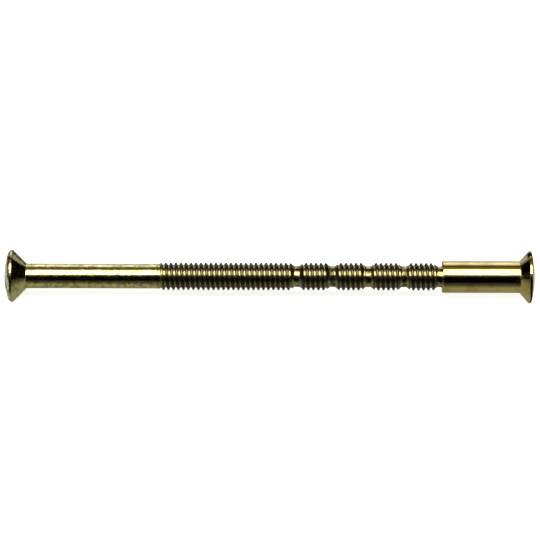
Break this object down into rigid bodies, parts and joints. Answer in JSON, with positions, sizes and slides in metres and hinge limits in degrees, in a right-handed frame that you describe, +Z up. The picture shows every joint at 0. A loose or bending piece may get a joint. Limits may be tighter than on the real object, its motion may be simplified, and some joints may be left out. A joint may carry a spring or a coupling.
{
  "type": "handle screw",
  "caption": "Connecting screw for a pair of handles: slotted raised countersunk screw with break-off notches in its thread, and a blind slotted sleeve nut on its end.",
  "frame": {"origin": "on the common axis, at the centre of the screw head's flush plane, which is the upper edge of its rim", "axes": "+X along the axis from the screw's head to the sleeve's head, +Z up along the sleeve's driver slot, as the part lies on the rims of its heads"},
  "size_m": [0.0742, 0.0074, 0.0074],
  "materials": {
    "screw_plating": "bright brass plating on steel, a little uneven",
    "sleeve_plating": "bright polished brass plating on steel"
  },
  "bodies": {
    "screw": {"screw": "screw_plating"},
    "sleeve_nut": {"sleeve_nut": "sleeve_plating"}
  },
  "joints": [
    {"name": "nut_travel", "type": "slide", "parent": "screw", "child": "sleeve_nut", "axis": [1, 0, 0], "range_m": [-0.0056, 0.007]}
  ]
}
